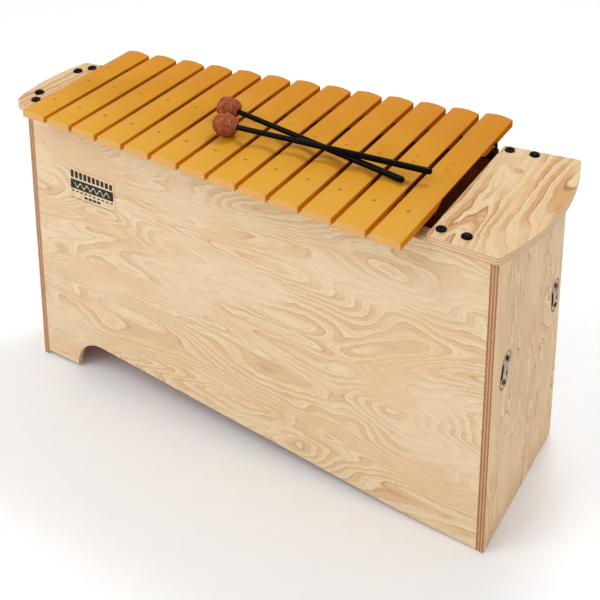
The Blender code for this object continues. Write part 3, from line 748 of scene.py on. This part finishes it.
def bars(material):
    names = bar_names()
    for i, name in enumerate(names):
        share = 1 - i / (len(names) - 1)
        mesh = bar_mesh(name, share, material)
        hole = mesh_of(name + "_cutter", *pin_hole(name), material)
        cutter = bpy.data.objects.new(name + "_cutter", hole)
        bpy.context.scene.collection.objects.link(cutter)
        piece = new_object(name + "_cast", mesh, name, "bar_resin", name)
        cut = piece.modifiers.new("hole", "BOOLEAN")
        cut.object = cutter
        cut.solver = "EXACT"
        apply_modifiers(piece)
        bpy.data.objects.remove(cutter, do_unlink=True)


def apply_modifiers(obj):
    """Puts the evaluated mesh in place of the object's mesh."""
    graph = bpy.context.evaluated_depsgraph_get()
    made = bpy.data.meshes.new_from_object(obj.evaluated_get(graph), depsgraph=graph)
    obj.modifiers.clear()
    obj.data = made


def boards():
    to_back, to_right, up = (0, 1, 0), (1, 0, 0), (0, 0, 1)
    rim = (RIM_LIGHT, RIM_DARK)
    front = plywood("front_ply", "front_panel", "x", to_back, WIDE_FIGURE, PINE, rim, FRONT_SEED)
    back = plywood("back_ply", "back_panel", "x", BACK_NORMAL, WIDE_FIGURE, PINE, seed=3.0)
    floor = plywood("floor_ply", "bottom_board", "x", up, WIDE_FIGURE, PINE, seed=4.0)
    quiet = (SIDE_PALE, SIDE_TAN, SIDE_DARK, SIDE_TAN)
    side = plywood("side_ply", "right_side_panel", "z", to_right, SIDE_FIGURE, quiet, seed=7.0)
    flame = (PLATE_PALE, PLATE_TAN, PLATE_DARK, HONEY)
    handle = plywood("handle_ply", "right_handle_plate", "y", up, PLATE_FIGURE, flame, rim, 11.0)
    rail = solid_wood("rail_wood", "x", SOFTWOOD, SOFTWOOD_DARK)
    plug = solid_wood("plug_wood", "y", PLUG, PLUG_DARK)
    looks = {
        "front_panel": front,
        "back_panel": back,
        "right_side_panel": side,
        "left_side_panel": side,
        "inner_end_wall": side,
        "chamber_divider_1": side,
        "chamber_divider_2": side,
        "bottom_board": floor,
        "right_handle_plate": handle,
        "left_handle_plate": handle,
        "front_rail": rail,
        "back_rail": rail,
        "plug_front": plug,
        "plug_back": plug,
    }
    for name, material in looks.items():
        board(frame["nodes"][name], material, SMALL_ROUND if name.startswith("plug") else EDGE_ROUND)


def end_centre(node, right):
    """Middle of a long node's left or right end."""
    points = [vertex.co for vertex in node.data.vertices]
    edge = max(p.x for p in points) if right else min(p.x for p in points)
    near = [p for p in points if abs(p.x - edge) < 3 * MM]
    low = Vector([min(p[i] for p in near) for i in range(3)])
    high = Vector([max(p[i] for p in near) for i in range(3)])
    return (low + high) / 2


def squared(value):
    """A sine or cosine pushed outward, so that a round outline turns boxy."""
    return math.copysign(abs(value) ** FELT_SQUARENESS, value)


def felt_strip(name, material):
    """A padded strip: crowned, fuzzy, pressed down a little under each bar."""
    node = frame["nodes"][name]
    low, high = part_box(name)
    start, end = end_centre(node, False), end_centre(node, True)
    bar_centres = [sum((corner.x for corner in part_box(bar)), 0.0) / 2 for bar in bar_names()]
    count = int((end.x - start.x) / FELT_STEP)
    size = 20
    points = []
    for k in range(count + 1):
        centre = start.lerp(end, k / count)
        gap = min(abs(centre.x - x) for x in bar_centres)
        pressed = FELT_PRESSED * (1 - min(max((gap - PRESS_HALF) / PRESS_FADE, 0.0), 1.0))
        rounding = min(k, count - k, 1)
        half = FELT_HALF_WIDTH * (0.86 + 0.14 * rounding)
        for i in range(size):
            turn = 2 * math.pi * i / size
            across = half * squared(math.cos(turn))
            top = high.z - pressed - (1 - rounding) * FELT_DROP
            up = (top + low.z) / 2 + (top - low.z) / 2 * squared(math.sin(turn))
            spot = Vector((centre.x, centre.y + across, up))
            fuzz = noise.noise(spot * 700) * FELT_FUZZ - FELT_FUZZ
            middle = Vector((centre.x, centre.y, (top + low.z) / 2))
            points.append(spot + (spot - middle).normalized() * fuzz)
    mesh = mesh_of(name + "_felt", points, tube_faces(count + 1, size), material, 60)
    new_object(name + "_felt", mesh, "box", "felt", name)


def supports():
    plastic = black_plastic()
    soft = felt()
    for name in ("front_pin_strip", "back_peg_strip"):
        board(frame["nodes"][name], plastic, SMALL_ROUND)
    for name in ("front_cushion", "back_cushion"):
        felt_strip(name, soft)


def fasteners():
    black = gloss_black("black_fastener", 0.32)
    for name in [n for n in frame["nodes"] if n.startswith(("rail_bolt", "plate_screw"))]:
        board(frame["nodes"][name], black, SCREW_ROUND)
    strap = steel("strap_steel", STRAP_DULL, STRAP_BRIGHT)
    screw = steel("screw_steel", SCREW_DULL, SCREW_BRIGHT)
    for name in [n for n in frame["nodes"] if n.startswith("hanger")]:
        board(frame["nodes"][name], screw if "screw" in name else strap, FINE_ROUND)
    board(frame["nodes"]["badge"], badge_face(), FINE_ROUND)


def head_point(turn, lean, axes):
    """A point on a head's surface, on a great circle that leans off the shaft's axis."""
    axis, side, other = axes
    swing = side * math.cos(lean) + other * math.sin(lean)
    tilt = WRAP_TILT * math.sin(lean * 3.7)
    pole = (axis * math.cos(tilt) + axis.cross(swing) * math.sin(tilt)).normalized()
    ray = pole * math.cos(turn) + swing * math.sin(turn)
    along = ray.dot(axis)
    across = (ray - axis * along).length
    skin = STRAND_RADIUS + HEAD_MARGIN
    flat = (abs(along) / (HEAD_HALF - skin)) ** HEAD_POWER
    round_part = (across / (HEAD_RADIUS - skin)) ** HEAD_POWER
    reach = (flat + round_part) ** (-1 / HEAD_POWER)
    return ray * reach * (1 - HEAD_TAPER * max(along, 0.0))


def winding(axes, seed):
    """The strand's path, from the head's centre: each turn leans on from the last."""
    path = []
    for k in range(HEAD_WRAPS * WRAP_STEPS):
        turn = 2 * math.pi * k / WRAP_STEPS
        lean = math.pi * 1.618 * k / WRAP_STEPS
        place = head_point(turn, lean, axes)
        lump = noise.noise(place * 110 + Vector((seed, 0, 0))) * HEAD_LUMP
        lift = lump + STRAND_LIFT * math.sin(lean * 5.1)
        path.append(place + place.normalized() * lift)
    return path


def strand_tube(path):
    """Points of a strand along a path about the origin, and (length, share round) for each."""
    points = []
    marks = []
    length = 0.0
    for k, here in enumerate(path):
        before, after = path[max(k - 1, 0)], path[min(k + 1, len(path) - 1)]
        ahead = (after - before).normalized()
        across = ahead.cross(here.normalized()).normalized()
        out = across.cross(ahead)
        if k:
            length += (here - before).length
        for i in range(STRAND_SIDES):
            angle = 2 * math.pi * i / STRAND_SIDES
            points.append(here + (across * math.cos(angle) + out * math.sin(angle)) * STRAND_RADIUS)
            marks.append((length, i / STRAND_SIDES))
    return points, marks


def head_filler(axes):
    """Points and faces of the wool that shows between the strands."""
    axis = axes[0]
    steps = 14
    profile = []
    for k in range(steps + 1):
        ray = head_point(math.pi * k / steps, 0.0, axes)
        along = ray.dot(axis)
        radius = (ray - axis * along).length - FILL_GAP
        profile.append((along, radius if 0 < k < steps else 0))
    return turned(profile, (0, 0, 0), axis, 40)


def mallet_head(body, material, seed):
    """Yarn wound over and over round the core, with the gaps between strands filled."""
    node = body + "_head"
    low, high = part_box(node)
    centre = (low + high) / 2
    axis = shaft_axis(frame["nodes"][body + "_shaft"])
    side = axis.orthogonal().normalized()
    axes = (axis, side, axis.cross(side))
    path = winding(axes, seed)
    points, marks = strand_tube(path)
    faces = tube_faces(len(path), STRAND_SIDES)
    fill, fill_faces = head_filler(axes)
    faces += [tuple(len(points) + i for i in face) for face in fill_faces]
    points += fill
    marks += [(0.0, 0.0)] * len(fill)
    mesh = mesh_of(node + "_wound", [centre + point for point in points], faces, material, 180)
    local = mesh.uv_layers.new(name="strand")
    for loop in mesh.loops:
        local.data[loop.index].uv = marks[loop.vertex_index]
    new_object(node + "_wound", mesh, body, "mallet_yarn", node)


def shaft_axis(shaft):
    """Direction of a mallet's shaft, from its head end to its far end."""
    return (end_centre(shaft, True) - end_centre(shaft, False)).normalized()


def mallets():
    black = gloss_black("mallet_shaft", 0.22)
    wool = yarn()
    core = Look("mallet_core")
    rubber = core.finish(RUBBER, 0.8, core.noise(core.position, 500.0), 0.2, 0.0003)
    for seed, body in enumerate(("mallet_lower", "mallet_upper")):
        board(frame["nodes"][body + "_shaft"], black, FINE_ROUND)
        board(frame["nodes"][body + "_core"], rubber, FINE_ROUND)
        mallet_head(body, wool, seed)


# Stage


def camera():
    """The main view, with the lens shifted down so that the uprights stay nearly parallel."""
    data = bpy.data.cameras.new("camera")
    data.lens = CAMERA_LENS
    data.sensor_width = 36
    data.clip_end = 50
    cam = bpy.data.objects.new("camera", data)
    bpy.context.scene.collection.objects.link(cam)
    turn, dip = math.radians(CAMERA_AZIMUTH), math.radians(CAMERA_PITCH)
    back = Vector((math.sin(turn) * math.cos(dip), -math.cos(turn) * math.cos(dip), math.sin(dip)))
    cam.location = CAMERA_AT
    cam.rotation_mode = "QUATERNION"
    cam.rotation_quaternion = (-back).to_track_quat("-Z", "Y")
    bpy.context.scene.camera = cam
    # The lens is shifted only from this viewpoint; other views look straight at the object.
    driver = data.driver_add("shift_y").driver
    place = driver.variables.new()
    place.name = "x"
    place.type = "TRANSFORMS"
    place.targets[0].id = cam
    place.targets[0].transform_type = "LOC_X"
    place.targets[0].transform_space = "WORLD_SPACE"
    driver.type = "SCRIPTED"
    driver.expression = f"{CAMERA_SHIFT} if abs(x - {CAMERA_AT[0]}) < {0.5 * MM} else 0.0"


def area_light(name, at, aim, size, power):
    """A soft round lamp."""
    data = bpy.data.lights.new(name, "AREA")
    data.shape = "DISK"
    data.size = size
    data.energy = power
    lamp = bpy.data.objects.new(name, data)
    lamp.location = at
    direction = Vector(aim) - Vector(at)
    lamp.rotation_mode = "QUATERNION"
    lamp.rotation_quaternion = direction.to_track_quat("-Z", "Y")
    bpy.context.scene.collection.objects.link(lamp)


def studio():
    """White surroundings, two soft lamps and a plain pale floor."""
    world = bpy.data.worlds.new("studio")
    world.use_nodes = True
    sky = world.node_tree.nodes["Background"]
    sky.inputs["Color"].default_value = (1, 1, 1, 1)
    sky.inputs["Strength"].default_value = SKY_STRENGTH
    bpy.context.scene.world = world
    bpy.context.scene.view_settings.view_transform = "Standard"
    area_light("key", (-1.4, -2.3, 3.2), (0, 0, 0.3), size=2.4, power=50)
    area_light("top", (0.2, 1.2, 3.0), (0, 0, 0.5), size=0.9, power=34)
    corners = [(-1, -1), (1, -1), (1, 1), (-1, 1)]
    floor = bpy.data.meshes.new("floor")
    floor.from_pydata([(x * FLOOR_HALF, y * FLOOR_HALF, 0) for x, y in corners], [], [(0, 1, 2, 3)])
    floor.materials.append(pale_floor())
    ground = bpy.data.objects.new("floor", floor)
    ground.location.z = -0.5 * MM
    bpy.context.scene.collection.objects.link(ground)


clear_scene()
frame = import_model()
boards()
supports()
bars(bar_resin())
fasteners()
mallets()
studio()
camera()
